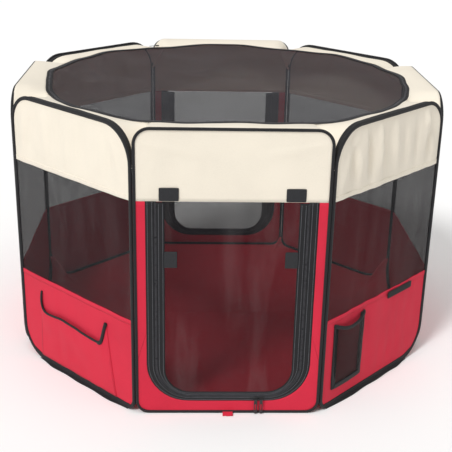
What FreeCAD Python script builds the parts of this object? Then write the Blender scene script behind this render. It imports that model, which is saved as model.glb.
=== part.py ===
"""Eight-panel folding pet playpen: sprung wire frames in fabric binding, two zipped mesh doors, a floor
and a zipped round mesh lid. Millimetres, +Z up, origin under the middle of the pen, front door at -Y."""
import FreeCAD, Part
import math
import os
from FreeCAD import Vector as V

# ---- driving dimensions ----
SIDE = 379.0            # hinge line to hinge line, one panel
HEIGHT = 608.0          # floor to the top of the binding
TUBE_R = 3.2            # edge binding, outside
BORE_R = 1.55           # binding's bore round the wire
WIRE_R = 1.5            # 3 mm sprung steel wire
END_GAP = 3.8           # hinge line to the middle of a panel's upright
FABRIC = 1.0            # woven fabric
MESH = 0.6              # netting
ZIP = 1.4               # zip tapes and door edging
PLAY = 0.3              # gap between pieces of different bodies
BAND_Z = 463.6          # lower edge of the upper band
BASE_Z = 208.0          # upper edge of the base band
R_TOP_FRONT, R_LOW_FRONT = 30.0, 24.0     # door panels' corners
R_TOP_NEAR, R_TOP_FAR = 75.0, 58.0        # side panels' top corners: beside a door panel, and elsewhere
R_LOW_NEAR, R_LOW_FAR = 24.0, 72.0        # the same for their bottom corners
TRACK_X, TRACK_Z, TRACK_R = 164.5, 30.0, 85.0     # U zip: outline of the black tape on the surround
TEETH_X, TEETH_Z, TEETH_R = 146.4, 39.6, 72.0     # U zip: line of the teeth
CLEAR_X, CLEAR_Z, CLEAR_R = 129.5, 49.0, 52.0     # U zip: outline of the door's netting
LID_R = 402.0           # teeth of the round zip
LID_TAPE = 7.0          # tape each side of those teeth
LID_HINGE_Y = 384.0     # straight unzipped stretch at the back that the lid hinges on
TOP_T, FLOOR_T = 1.2, 1.2

APOTHEM = SIDE * (1 + math.sqrt(2)) / 2
POST_X = SIDE / 2 - END_GAP               # middle of a panel's upright, from the panel's middle
RAIL_TOP, RAIL_LOW = HEIGHT - TUBE_R, TUBE_R
TOP_Z = HEIGHT - 4.8
SIDES = ["front", "front_right", "right", "back_right", "back", "back_left", "left", "front_left"]
DOOR_SIDES = {"front", "back"}


def radii(k):
    """Corner radii of panel k: bottom start, bottom end, top end, top start (start = clockwise end)."""
    if SIDES[k] in DOOR_SIDES:
        return R_LOW_FRONT, R_LOW_FRONT, R_TOP_FRONT, R_TOP_FRONT
    near_start, near_end = k % 4 == 1, k % 4 == 3
    low = [R_LOW_NEAR if near else R_LOW_FAR for near in (near_start, near_end)]
    top = [R_TOP_NEAR if near else R_TOP_FAR for near in (near_start, near_end)]
    return low[0], low[1], top[1], top[0]


def to_side(shape, k):
    """Turn a shape drawn on the front panel onto panel k."""
    shape.rotate(V(0, 0, 0), V(0, 0, 1), 45 * k)
    return shape


def wire_xz(points, y=0.0, close=True):
    """Wire in the plane y through (x, z, corner radius) points, with tangent arcs at the corners."""
    p = [V(x, y, z) for x, z, _ in points]
    n, edges, ends = len(p), [], []
    for i, (_, _, r) in enumerate(points):
        if r <= 0 or (not close and i in (0, n - 1)):
            ends.append((p[i], p[i], None))
            continue
        a, b = (p[i - 1] - p[i]).normalize(), (p[(i + 1) % n] - p[i]).normalize()
        half = a.getAngle(b) / 2
        mid = (a + b).normalize()
        centre = p[i] + mid * (r / math.sin(half))
        run = r / math.tan(half)
        ends.append((p[i] + a * run, p[i] + b * run, centre - mid * r))
    for i in range(n):
        start, stop, top = ends[i]
        if top is not None:
            edges.append(Part.Arc(start, top, stop).toShape())
        if i + 1 < n or close:
            nxt = ends[(i + 1) % n][0]
            if stop.distanceToPoint(nxt) > 1e-6:
                edges.append(Part.LineSegment(stop, nxt).toShape())
    return Part.Wire(edges)


def plate(points, thick, y_mid=-APOTHEM):
    """Flat piece of a panel's fabric: an outline in x, z, `thick` deep about y_mid."""
    wire = wire_xz(points, y_mid - thick / 2)
    return Part.Face(wire).extrude(V(0, thick, 0))


def box(x0, x1, y0, y1, z0, z1):
    return Part.makeBox(x1 - x0, y1 - y0, z1 - z0, V(x0, y0, z0))


def rail_loop(k, radius, bore=0.0):
    """Closed round rail along panel k's edge: four straights and four corner arcs."""
    r = radii(k)
    corners = [(-POST_X, RAIL_LOW, r[0], 180), (POST_X, RAIL_LOW, r[1], 270),
               (POST_X, RAIL_TOP, r[2], 0), (-POST_X, RAIL_TOP, r[3], 90)]
    inward = [(1, 1), (-1, 1), (-1, -1), (1, -1)]
    pieces = []

    def add(make):
        solid = make(radius)
        pieces.append(solid.cut(make(bore)) if bore else solid)

    for i, (x, z, rc, start) in enumerate(corners):
        cx, cz = x + inward[i][0] * rc, z + inward[i][1] * rc

        def bend(rr, cx=cx, cz=cz, rc=rc, start=start):
            torus = Part.makeTorus(rc, rr, V(0, 0, 0), V(0, 0, 1), 0, 360, 90)
            torus.rotate(V(0, 0, 0), V(0, 0, 1), start)
            torus.rotate(V(0, 0, 0), V(1, 0, 0), 90)
            torus.translate(V(cx, -APOTHEM, cz))
            return torus

        add(bend)
        x2, z2, rc2, _ = corners[(i + 1) % 4]
        if i % 2 == 0:
            a, b = V(x + inward[i][0] * rc, -APOTHEM, z), V(x2 + inward[(i + 1) % 4][0] * rc2, -APOTHEM, z)
        else:
            a, b = V(x, -APOTHEM, z + inward[i][1] * rc), V(x, -APOTHEM, z2 + inward[(i + 1) % 4][1] * rc2)
        add(lambda rr, a=a, b=b: Part.makeCylinder(rr, (b - a).Length, a, b - a))
    loop = pieces[0].multiFuse(pieces[1:]).removeSplitter()
    return loop.Solids[0] if len(loop.Solids) == 1 else loop


def band(k, z0, z1, thick):
    """Fabric filling panel k between two heights, up to the inside of the binding."""
    x = POST_X - TUBE_R
    low, top = z0 is None, z1 is None
    r = [max(q - TUBE_R, 0) for q in radii(k)]
    zl, zh = (RAIL_LOW + TUBE_R if low else z0), (RAIL_TOP - TUBE_R if top else z1)
    return plate([(-x, zl, r[0] * low), (x, zl, r[1] * low), (x, zh, r[2] * top), (-x, zh, r[3] * top)],
                 thick)


def u_strip(outer, inner, z_top, thick):
    """U-shaped strip between two U outlines given as (half width, bottom z, corner radius)."""
    (xo, zo, ro), (xi, zi, ri) = outer, inner
    return plate([(-xo, z_top, 0), (-xo, zo, ro), (xo, zo, ro), (xo, z_top, 0),
                  (xi, z_top, 0), (xi, zi, ri), (-xi, zi, ri), (-xi, z_top, 0)], thick)


def ring(r_out, r_in, z0, thick):
    outer = Part.makeCylinder(r_out, thick, V(0, 0, z0))
    return outer.cut(Part.makeCylinder(r_in, thick, V(0, 0, z0)))


def octagon(inset, corner_of, z0, thick):
    """Flat eight-sided sheet inside the rails; corner_of(k) gives the corner cuts at panel k's two ends."""
    pts = []
    for k in range(8):
        start, end = corner_of(k)
        for x in (-POST_X + start, POST_X - end):
            a = math.radians(45 * k)
            y = -APOTHEM + inset
            pts.append(V(x * math.cos(a) - y * math.sin(a), x * math.sin(a) + y * math.cos(a), z0))
    return Part.Face(Part.makePolygon(pts + pts[:1])).extrude(V(0, 0, thick))


parts = {}

# ---- the eight panels: wire, binding and fabric ----
for k, side in enumerate(SIDES):
    parts[side + "_frame_wire"] = to_side(rail_loop(k, WIRE_R), k)
    parts[side + "_edge_binding"] = to_side(rail_loop(k, TUBE_R, BORE_R), k)
    parts[side + "_upper_band"] = to_side(band(k, BAND_Z, None, FABRIC), k)
    if side not in DOOR_SIDES:
        parts[side + "_mesh_window"] = to_side(band(k, BASE_Z, BAND_Z, MESH), k)
        parts[side + "_base_band"] = to_side(band(k, None, BASE_Z, FABRIC), k)

# ---- zipped door panels, front and back ----
FACE_Y = -APOTHEM - FABRIC / 2            # outer face of a panel's fabric
DOOR_TOP = BAND_Z - 0.6
SLIDER_Y1 = -APOTHEM - ZIP / 2 - PLAY     # back of a slider
SLIDER_T, SLIDER_W, SLIDER_Z0 = 3.2, 9.0, 30.6
PULL_W, PULL_T, PULL_LOW = 6.8, 1.0, 1.8
PULL_Z = 34.0                             # height of the pin that a pull swings on
PIN_R, PIN_X, EAR_T = 0.8, 4.8, 1.0       # pin's radius, its half length and the ears that hold it
EYE_R, EYE_BORE_R = 1.7, 0.85
PIN_Y = SLIDER_Y1 - SLIDER_T - EYE_R - PLAY
SLIDER_X = {"left": 57.0, "right": 68.5}
TAG_W, TAG_L = 21.0, 11.0                 # red tag sewn in under each door


def slider(x):
    """Zip slider body with two ears and the pin that its pull hangs from."""
    front = SLIDER_Y1 - SLIDER_T
    body = box(x - SLIDER_W / 2, x + SLIDER_W / 2, front, SLIDER_Y1, SLIDER_Z0, TEETH_Z - 0.8)
    body = body.makeFillet(1.0, body.Edges)
    pin = Part.makeCylinder(PIN_R, 2 * PIN_X, V(x - PIN_X, PIN_Y, PULL_Z), V(1, 0, 0))
    ears = [box(x + s * PIN_X - EAR_T / 2 * (1 + s), x + s * PIN_X + EAR_T / 2 * (1 - s), PIN_Y - EAR_T,
                front + EAR_T, PULL_Z - EAR_T, PULL_Z + EAR_T) for s in (-1, 1)]
    return body.multiFuse([pin] + ears).removeSplitter()


def pull(x):
    """Flat pull tab hanging on a slider's pin."""
    tab = box(x - PULL_W / 2, x + PULL_W / 2, PIN_Y - PULL_T / 2, PIN_Y + PULL_T / 2, PULL_LOW, PULL_Z)
    eye = Part.makeCylinder(EYE_R, PULL_W, V(x - PULL_W / 2, PIN_Y, PULL_Z), V(1, 0, 0))
    bore = Part.makeCylinder(EYE_BORE_R, PULL_W, V(x - PULL_W / 2, PIN_Y, PULL_Z), V(1, 0, 0))
    return tab.fuse(eye).cut(bore).removeSplitter()


for side, k in (("front", 0), ("back", 4)):
    x_in = POST_X - TUBE_R
    low_z = RAIL_LOW + TUBE_R
    low_r = R_LOW_FRONT - TUBE_R
    surround = u_strip((x_in, low_z, low_r), (TRACK_X, TRACK_Z, TRACK_R), BAND_Z, FABRIC)
    tag = box(-TAG_W / 2, TAG_W / 2, -APOTHEM - TUBE_R - TAG_L, -APOTHEM - TUBE_R, 0, FABRIC)
    parts[side + "_surround"] = to_side(Part.makeCompound([surround, tag]), k)
    parts[side + "_zip_track"] = to_side(
        u_strip((TRACK_X, TRACK_Z, TRACK_R), (TEETH_X, TEETH_Z, TEETH_R), BAND_Z, ZIP), k)
    edge = (TEETH_X - PLAY, TEETH_Z + PLAY, TEETH_R - PLAY)
    parts[side + "_door_edging"] = to_side(u_strip(edge, (CLEAR_X, CLEAR_Z, CLEAR_R), DOOR_TOP, ZIP), k)
    net = [(-CLEAR_X, DOOR_TOP, 0), (-CLEAR_X, CLEAR_Z, CLEAR_R), (CLEAR_X, CLEAR_Z, CLEAR_R),
           (CLEAR_X, DOOR_TOP, 0)]
    parts[side + "_door_mesh"] = to_side(plate(net, MESH), k)

# front door's sliders, pulls and tie-back tabs; the back door has one slider with its pull fixed
for name, x in SLIDER_X.items():
    parts["front_slider_" + name] = slider(x)
    parts["front_pull_" + name] = pull(x)
parts["back_slider"] = to_side(slider(SLIDER_X["left"]).fuse(pull(SLIDER_X["left"])), 4)
TAB_X, TAB_W, TAB_T, TAB_Z0, TAB_Z1 = 120.5, 37.5, 1.2, BAND_Z + 1.4, 491.0
PATCH_W, PATCH_T, PATCH_Z0, PATCH_Z1 = 25.0, 0.9, 328.0, 362.0
tabs = [box(s * TAB_X - TAB_W / 2, s * TAB_X + TAB_W / 2, FACE_Y - TAB_T, FACE_Y, TAB_Z0, TAB_Z1)
        for s in (-1, 1)]
parts["front_hook_tabs"] = Part.makeCompound(tabs)
patch_x = CLEAR_X - PATCH_W / 2
patch_y = -APOTHEM - MESH / 2
parts["front_door_patches"] = Part.makeCompound(
    [box(s * patch_x - PATCH_W / 2, s * patch_x + PATCH_W / 2, patch_y - PATCH_T, patch_y, PATCH_Z0, PATCH_Z1)
     for s in (-1, 1)])

# ---- pockets and hook strip on the base bands ----
POCKET_T = 0.8
pocket = [(-130.0, 12.0, 4), (130.0, 12.0, 4), (106.0, 178.0, 2), (94.0, 127.0, 10), (-95.0, 131.0, 14),
          (-111.0, 146.0, 8), (-112.5, 178.0, 2)]
parts["front_left_pocket"] = to_side(plate(pocket, POCKET_T, FACE_Y - POCKET_T / 2), 7)
NET_X0, NET_X1, NET_Z0, NET_Z1, NET_EDGE, NET_DEPTH = -157.0, -53.0, 42.0, 190.0, 8.0, 3.5
outside = box(NET_X0, NET_X1, FACE_Y - NET_DEPTH, FACE_Y, NET_Z0, NET_Z1)
hollow = box(NET_X0 + NET_EDGE, NET_X1 - NET_EDGE, FACE_Y - NET_DEPTH + MESH, FACE_Y,
             NET_Z0 + NET_EDGE, NET_Z1)
parts["front_right_net_pocket"] = to_side(outside.cut(hollow), 1)
STRIP_X0, STRIP_X1, STRIP_Z0, STRIP_Z1, STRIP_T = 28.0, 127.0, 188.0, 206.5, 1.2
strip = box(STRIP_X0, STRIP_X1, FACE_Y - STRIP_T, FACE_Y, STRIP_Z0, STRIP_Z1)
parts["front_right_hook_strip"] = to_side(strip, 1)

# ---- floor and top ----
parts["floor"] = octagon(TUBE_R + PLAY, lambda k: (radii(k)[0], radii(k)[1]), 0.0, FLOOR_T)
border = octagon(TUBE_R + PLAY, lambda k: (radii(k)[3], radii(k)[2]), TOP_Z, TOP_T)
track_out = LID_R + LID_TAPE
parts["top_border"] = border.cut(Part.makeCylinder(track_out, TOP_T, V(0, 0, TOP_Z)))


def lid_part(shape):
    """Trim a round piece of the lid at its straight hinge line."""
    return shape.common(box(-SPAN, SPAN, -SPAN, LID_HINGE_Y - PLAY, TOP_Z - 5, TOP_Z + 5))


SPAN = 500.0                              # larger than the lid's radius
track = ring(track_out, LID_R, TOP_Z, TOP_T)
behind = Part.makeCylinder(LID_R, TOP_T, V(0, 0, TOP_Z)).common(
    box(-SPAN, SPAN, LID_HINGE_Y, SPAN, TOP_Z - 5, TOP_Z + 5))
parts["lid_zip_track"] = track.fuse(behind).removeSplitter()
parts["lid_rim"] = lid_part(ring(LID_R - PLAY, LID_R - LID_TAPE, TOP_Z, TOP_T))
inner = Part.makeCylinder(LID_R - LID_TAPE, MESH, V(0, 0, TOP_Z + (TOP_T - MESH) / 2))
parts["lid_mesh"] = lid_part(inner)

# slider of the round zip, parked beside the left end of the lid's hinge line
LID_SLIDER_AT = 115.0                     # degrees round the ring
LID_BODY_R, LID_BODY_W, LID_BODY_L, LID_BODY_T = LID_R + 3.4, 6.0, 9.0, 3.0
LID_PULL_W, LID_PULL_L, LID_PULL_T = 4.0, 20.0, 1.0
low = TOP_Z + TOP_T
lid_body = box(LID_BODY_R - LID_BODY_W / 2, LID_BODY_R + LID_BODY_W / 2, -LID_BODY_L / 2, LID_BODY_L / 2,
               low + PLAY, low + PLAY + LID_BODY_T)
lid_body = lid_body.makeFillet(0.9, lid_body.Edges)
lid_pull = box(LID_BODY_R - LID_PULL_W / 2, LID_BODY_R + LID_PULL_W / 2, 4.0, 4.0 + LID_PULL_L,
               low + LID_PULL_T, low + 2 * LID_PULL_T)
lid_slider = lid_body.fuse(lid_pull).removeSplitter()
lid_slider.rotate(V(0, 0, 0), V(0, 0, 1), LID_SLIDER_AT)
parts["lid_slider"] = lid_slider

os.makedirs("parts", exist_ok=True)
for name, shape in parts.items():
    assert shape.isValid(), name
    shape.exportStep("parts/" + name + ".step")
print(len(parts), "parts")
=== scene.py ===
"""Looks of the folding pet playpen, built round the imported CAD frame. Metres, +Z up, front door at -Y."""
from math import asin, atan2, cos, exp, hypot, pi, radians, sin, sqrt, tan

import bpy
from mathutils import Matrix, Vector, noise


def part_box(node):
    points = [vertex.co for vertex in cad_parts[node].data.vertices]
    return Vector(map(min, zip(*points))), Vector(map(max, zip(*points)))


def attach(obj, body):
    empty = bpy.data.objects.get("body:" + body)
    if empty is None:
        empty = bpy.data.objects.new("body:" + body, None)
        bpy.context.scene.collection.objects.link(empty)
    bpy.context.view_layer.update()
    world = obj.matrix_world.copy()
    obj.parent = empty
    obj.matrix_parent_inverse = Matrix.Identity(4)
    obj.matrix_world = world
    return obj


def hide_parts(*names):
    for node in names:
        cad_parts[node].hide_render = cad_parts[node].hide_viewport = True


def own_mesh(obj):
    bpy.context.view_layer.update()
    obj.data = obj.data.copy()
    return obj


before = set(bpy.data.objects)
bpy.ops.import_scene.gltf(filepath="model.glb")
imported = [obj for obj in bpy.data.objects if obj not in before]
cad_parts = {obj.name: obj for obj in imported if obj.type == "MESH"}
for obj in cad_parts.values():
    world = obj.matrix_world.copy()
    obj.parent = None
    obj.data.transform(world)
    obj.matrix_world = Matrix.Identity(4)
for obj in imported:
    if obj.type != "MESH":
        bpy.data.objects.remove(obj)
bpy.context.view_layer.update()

# ---- sizes, read from the frame ----
low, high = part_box("front_edge_binding")
TUBE = (high.y - low.y) / 2  # radius of the edge binding
APOTHEM = -(high.y + low.y) / 2
POST_X = high.x - TUBE  # middle of an upright, from the panel's middle
SIDE = 2 * APOTHEM * tan(radians(22.5))
RAIL_TOP, RAIL_LOW = high.z - TUBE, low.z + TUBE
BAND_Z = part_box("front_upper_band")[0].z
BASE_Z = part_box("right_base_band")[1].z
TRACK_X, TRACK_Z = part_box("front_zip_track")[1].x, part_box("front_zip_track")[0].z
EDGE_X, EDGE_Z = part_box("front_door_edging")[1].x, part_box("front_door_edging")[0].z
CLEAR_X, CLEAR_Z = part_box("front_door_mesh")[1].x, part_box("front_door_mesh")[0].z
DOOR_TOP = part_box("front_door_mesh")[1].z
TOP_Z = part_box("lid_rim")[1].z
RING_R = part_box("lid_zip_track")[1].x  # outside of the round zip
LID_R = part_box("lid_rim")[1].x
HINGE_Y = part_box("lid_rim")[1].y
TRACK_R, EDGE_R, CLEAR_R = 0.085, 0.072, 0.052  # bottom corners of the U zip's three outlines
TOP_NEAR, TOP_FAR, LOW_NEAR, LOW_FAR = 0.075, 0.058, 0.024, 0.072  # side panels' corners, by nearness to a door
TOP_DOOR, LOW_DOOR = 0.030, 0.024  # door panels' corners
SIDES = ["front", "front_right", "right", "back_right", "back", "back_left", "left", "front_left"]
DOOR_SIDES = ("front", "back")
FACE = 0.0005  # half the thickness of a woven sheet
WOVEN, ZIP_THICK, LID_THICK = 0.0009, 0.0013, 0.0014  # thickness of cloth, door zip tape and lid zip tape
NET_PITCH = 0.0019  # from hole to hole of the netting
PANEL_COLUMNS = 56  # cells across a panel's cloth
STITCH, FINE_STITCH = (0.0030, 0.0007, 0.0005), (0.0027, 0.0006, 0.0004)  # along, across, tall
OUT, UP = Vector((0, -1, 0)), Vector((0, 0, 1))  # out of the front panel, and up


def radii(k):
    """Corner radii of panel k: bottom start, bottom end, top end, top start (start = clockwise end)."""
    if SIDES[k] in DOOR_SIDES:
        return LOW_DOOR, LOW_DOOR, TOP_DOOR, TOP_DOOR
    near_start, near_end = k % 4 == 1, k % 4 == 3
    return (LOW_NEAR if near_start else LOW_FAR, LOW_NEAR if near_end else LOW_FAR,
            TOP_NEAR if near_end else TOP_FAR, TOP_NEAR if near_start else TOP_FAR)


# ---- materials ----
def new_material(name):
    m = bpy.data.materials.new(name)
    m.use_nodes = True
    return m, m.node_tree, m.node_tree.nodes["Principled BSDF"]


def math_node(nt, op, a, b=None):
    n = nt.nodes.new("ShaderNodeMath")
    n.operation = op
    for i, v in enumerate((a, b)):
        if v is None:
            continue
        if isinstance(v, (int, float)):
            n.inputs[i].default_value = v
        else:
            nt.links.new(v, n.inputs[i])
    return n.outputs[0]


def plus(nt, a, b):
    return math_node(nt, "ADD", a, b)


def times(nt, a, b):
    return math_node(nt, "MULTIPLY", a, b)


def set_sockets(node, values):
    for name, value in values.items():
        node.inputs[name].default_value = value


def bump(nt, bsdf, height, strength, distance, invert=False):
    node = nt.nodes.new("ShaderNodeBump")
    set_sockets(node, {"Strength": strength, "Distance": distance})
    node.invert = invert
    nt.links.new(height, node.inputs["Height"])
    nt.links.new(node.outputs[0], bsdf.inputs["Normal"])


def uv_parts(nt):
    """The two parts of the cloth's own UVs, which are in metres."""
    uv = nt.nodes.new("ShaderNodeUVMap")
    uv.uv_map = "cloth"
    sep = nt.nodes.new("ShaderNodeSeparateXYZ")
    nt.links.new(uv.outputs[0], sep.inputs[0])
    return sep.outputs[0], sep.outputs[1]


def noise_tex(nt, scale, detail=4.0):
    coord = nt.nodes.new("ShaderNodeTexCoord")
    n = nt.nodes.new("ShaderNodeTexNoise")
    set_sockets(n, {"Scale": scale, "Detail": detail, "Roughness": 0.55})
    nt.links.new(coord.outputs["Object"], n.inputs["Vector"])
    return n.outputs["Fac"]


def ramp(nt, fac, stops):
    r = nt.nodes.new("ShaderNodeValToRGB")
    r.color_ramp.elements[0].position, r.color_ramp.elements[0].color = stops[0][0], (*stops[0][1], 1)
    r.color_ramp.elements[1].position, r.color_ramp.elements[1].color = stops[-1][0], (*stops[-1][1], 1)
    for pos, col in stops[1:-1]:
        r.color_ramp.elements.new(pos).color = (*col, 1)
    nt.links.new(fac, r.inputs[0])
    return r.outputs[0]


def shade(color, f):
    return tuple(c * f for c in color)


def woven(name, color, thread=0.0011, rough=0.8, vary=0.08, sheen=0.15, relief=0.25,
          lines=(1.0, 1.0)):
    """Plain-woven cloth: thread-sized bump from the cloth's own UVs, soft mottling and slubs."""
    m, nt, bsdf = new_material(name)
    u, v = uv_parts(nt)
    k = 2 * pi / thread
    su = math_node(nt, "SINE", times(nt, u, k * lines[0]))
    sv = math_node(nt, "SINE", times(nt, v, k * lines[1]))
    weave = times(nt, su, sv)
    mottle = noise_tex(nt, 9.0)
    slub = noise_tex(nt, 420.0, 2.0)
    both = plus(nt, times(nt, mottle, 0.65), times(nt, slub, 0.35))
    fine = plus(nt, both, times(nt, weave, 0.05))
    col = ramp(nt, fine, [(0.3, shade(color, 1 - vary)), (0.5, color), (0.72, shade(color, 1 + vary * 0.6))])
    nt.links.new(col, bsdf.inputs["Base Color"])
    rr = plus(nt, times(nt, slub, 0.16), rough - 0.08)
    nt.links.new(rr, bsdf.inputs["Roughness"])
    bump(nt, bsdf, plus(nt, times(nt, weave, 0.6), slub), relief, thread * 0.25)
    set_sockets(bsdf, {"Sheen Weight": sheen, "Sheen Roughness": 0.5, "Specular IOR Level": 0.3})
    return m


def netting(name, color, cover, crease_highlight=0.0):
    """See-through netting: a triangular lattice of round holes, whose alpha is cover, in the cloth's own UVs; the last
    argument paints lighter bands along the creases, a painted highlight.
    """
    m, nt, bsdf = new_material(name)
    u, v = uv_parts(nt)
    k = 4 * pi / (NET_PITCH * sqrt(3))
    waves = []
    for a in (0, 60, 120):
        c, s = cos(radians(a)), sin(radians(a))
        along = plus(nt, times(nt, u, k * c), times(nt, v, k * s))
        waves.append(math_node(nt, "COSINE", along))
    total = plus(nt, plus(nt, waves[0], waves[1]), waves[2])
    part = times(nt, plus(nt, total, 1.5), 1 / 4.5)
    nt.links.new(ramp(nt, part, [(0.16, (0.95,) * 3), (0.30, (cover,) * 3)]), bsdf.inputs["Alpha"])
    mottle = noise_tex(nt, 14.0)
    col = ramp(nt, mottle, [(0.3, shade(color, 0.8)), (0.7, shade(color, 1.25))])
    # Lighter bands along stretched noise, added to the base colour: a painted highlight on the netting's creases.
    if crease_highlight:
        coord, stretch = nt.nodes.new("ShaderNodeTexCoord"), nt.nodes.new("ShaderNodeMapping")
        set_sockets(stretch, {"Scale": (13.0, 13.0, 2.6), "Rotation": (0.0, 0.32, 0.0)})
        bands = nt.nodes.new("ShaderNodeTexNoise")
        set_sockets(bands, {"Scale": 1.0, "Detail": 3.0})
        nt.links.new(coord.outputs["Object"], stretch.inputs["Vector"])
        nt.links.new(stretch.outputs[0], bands.inputs["Vector"])
        lit = ramp(nt, bands.outputs["Fac"],
                   [(0.50, (0, 0, 0)), (0.60, (crease_highlight,) * 3), (0.68, (crease_highlight * 0.2,) * 3)])
        add = nt.nodes.new("ShaderNodeMix")
        add.data_type, add.blend_type = "RGBA", "ADD"
        add.inputs[0].default_value = 1.0
        nt.links.new(col, add.inputs[6])
        nt.links.new(lit, add.inputs[7])
        col = add.outputs[2]
    nt.links.new(col, bsdf.inputs["Base Color"])
    set_sockets(bsdf, {"Roughness": 0.6, "Specular IOR Level": 0.15})
    bump(nt, bsdf, part, 0.3, 0.0003, True)
    return m


def fuzzy(name, color):
    """Hook-and-loop tape: a dense pile seen as fine cellular bump, its colour lighter on the cells' raised middles and
    darker in the hollows between: painted highlight and painted shade.
    """
    m, nt, bsdf = new_material(name)
    coord = nt.nodes.new("ShaderNodeTexCoord")
    cells = nt.nodes.new("ShaderNodeTexVoronoi")
    set_sockets(cells, {"Scale": 900.0})
    nt.links.new(coord.outputs["Object"], cells.inputs["Vector"])
    # Colour follows the bump's cells: painted highlight on the raised middles, painted shade in the hollows.
    col = ramp(nt, cells.outputs["Distance"], [(0.0, shade(color, 1.5)), (0.6, shade(color, 0.6))])
    nt.links.new(col, bsdf.inputs["Base Color"])
    bump(nt, bsdf, cells.outputs["Distance"], 0.5, 0.0004, True)
    set_sockets(bsdf, {"Roughness": 0.9, "Sheen Weight": 0.04})
    return m


def hard(name, color, rough, metallic=0.0):
    """Moulded or enamelled small hardware with faint scuffing."""
    m, nt, bsdf = new_material(name)
    n = noise_tex(nt, 180.0, 3.0)
    nt.links.new(ramp(nt, n, [(0.35, shade(color, 0.85)), (0.7, shade(color, 1.3))]), bsdf.inputs["Base Color"])
    nt.links.new(plus(nt, times(nt, n, 0.2), rough - 0.1), bsdf.inputs["Roughness"])
    bsdf.inputs["Metallic"].default_value = metallic
    return m


CREAM = woven("cream_oxford", (0.86, 0.79, 0.67), vary=0.05)
RED = woven("red_oxford", (0.64, 0.020, 0.052), vary=0.10, sheen=0.05)
# Floor cloth: the red oxford made lighter than the base band's, painted light for the light that reaches the floor
# through the netting.
FLOOR_RED_PAINTED_LIGHT = woven("floor_oxford_painted_light", (0.88, 0.042, 0.075), vary=0.12, sheen=0.05)
TAPE = woven("binding_tape", (0.013, 0.013, 0.015), thread=0.0009, rough=0.7, vary=0.25, sheen=0.06, relief=0.5)
ZIP_TAPE = woven("zip_tape", (0.011, 0.011, 0.013), thread=0.0008, rough=0.65, vary=0.2, sheen=0.04, lines=(0.5, 2))
# A netting's fourth number is the strength of its painted crease highlight.
NET = netting("pen_netting", (0.011, 0.011, 0.013), 0.52, 0.014)
DOOR_NET = netting("door_netting", (0.011, 0.011, 0.013), 0.27, 0.028)
POCKET_NET = netting("pocket_netting", (0.010, 0.010, 0.010), 0.60)
# Lid netting: the same black threads with a lighter, bluer base colour than the other netting, painted light on the
# top face.
LID_NET_PAINTED_LIGHT = netting("lid_netting_painted_light", (0.034, 0.034, 0.040), 0.52, 0.010)
PILE = fuzzy("hook_pile", (0.026, 0.027, 0.031))
DARK_PILE = fuzzy("hook_pile_dark", (0.011, 0.011, 0.012))
TEETH = hard("zip_teeth", (0.06, 0.06, 0.068), 0.3)
ENAMEL = hard("zip_enamel", (0.018, 0.018, 0.02), 0.35)
STEEL = hard("spring_steel", (0.5, 0.5, 0.52), 0.35, 1.0)
THREAD = hard("black_thread", (0.03, 0.03, 0.034), 0.6)
ZIP_THREAD = hard("zip_thread", (0.11, 0.115, 0.13), 0.5)
CREAM_THREAD = hard("cream_thread", (0.72, 0.65, 0.54), 0.7)
RED_THREAD = hard("red_thread", (0.36, 0.012, 0.03), 0.7)


# ---- mesh helpers ----
def link(name, data):
    ob = bpy.data.objects.new(name, data)
    bpy.context.scene.collection.objects.link(ob)
    return ob


def turned(k):
    return Matrix.Rotation(radians(45 * k), 4, "Z")


def add_mesh(name, verts, faces, material, uvs=None, k=0, smooth=True):
    """A piece from points drawn on the front panel and turned onto panel k, with one UV per point."""
    me = bpy.data.meshes.new(name)
    me.from_pydata([turned(k) @ Vector(p) for p in verts], [], faces)
    if uvs:
        layer = me.uv_layers.new(name="cloth")
        for loop in me.loops:
            layer.data[loop.index].uv = uvs[loop.vertex_index]
    me.polygons.foreach_set("use_smooth", [smooth] * len(me.polygons))
    me.materials.append(material)
    me.validate()
    return link(name, me)


def grid_faces(rows, cols):
    return [(r * cols + c, r * cols + c + 1, (r + 1) * cols + c + 1, (r + 1) * cols + c)
            for r in range(rows - 1) for c in range(cols - 1)]


def grid(name, rows, cols, point, material, k=0, flip=False):
    """Cloth of rows by cols cells; point(j, i) gives a corner and its UV."""
    points, uvs = zip(*(point(j, i) for j in range(rows + 1) for i in range(cols + 1)))
    faces = grid_faces(rows + 1, cols + 1)
    if flip:
        faces = [tuple(reversed(f)) for f in faces]
    return add_mesh(name, points, faces, material, uvs, k)


def thicken(ob, thickness, offset=0.0):
    s = ob.modifiers.new("thickness", "SOLIDIFY")
    s.thickness, s.offset = thickness, offset
    return ob


def soften(ob, width, segments):
    m = ob.modifiers.new("soft_edges", "BEVEL")
    m.width, m.segments = width, segments
    return ob


def finish(ob, body, replaces=()):
    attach(ob, body)
    if replaces:
        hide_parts(*replaces)
    return ob


def gather(ob):
    """Cloth that joins the panels: the piece gets its own copy of its mesh data."""
    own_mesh(ob)


def resample(path, step, closed=False):
    """Evenly spaced (point, tangent) along a polyline."""
    pts = list(path) + ([path[0]] if closed else [])
    lengths = [(b - a).length for a, b in zip(pts, pts[1:])]
    total = sum(lengths)
    count = max(int(total / step), 1)
    out, i, done = [], 0, 0.0
    for n in range(count):
        want = (n + 0.5) * total / count
        while done + lengths[i] < want:
            done += lengths[i]
            i += 1
        t = (pts[i + 1] - pts[i]) / lengths[i]
        out.append((pts[i] + t * (want - done), t))
    return out


def box_faces(b):
    """Faces of a box whose four lower and four upper corners start at index b."""
    return ([(b + 3, b + 2, b + 1, b), (b + 4, b + 5, b + 6, b + 7)]
            + [(b + i, b + (i + 1) % 4, b + 4 + (i + 1) % 4, b + 4 + i) for i in range(4)])


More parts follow.
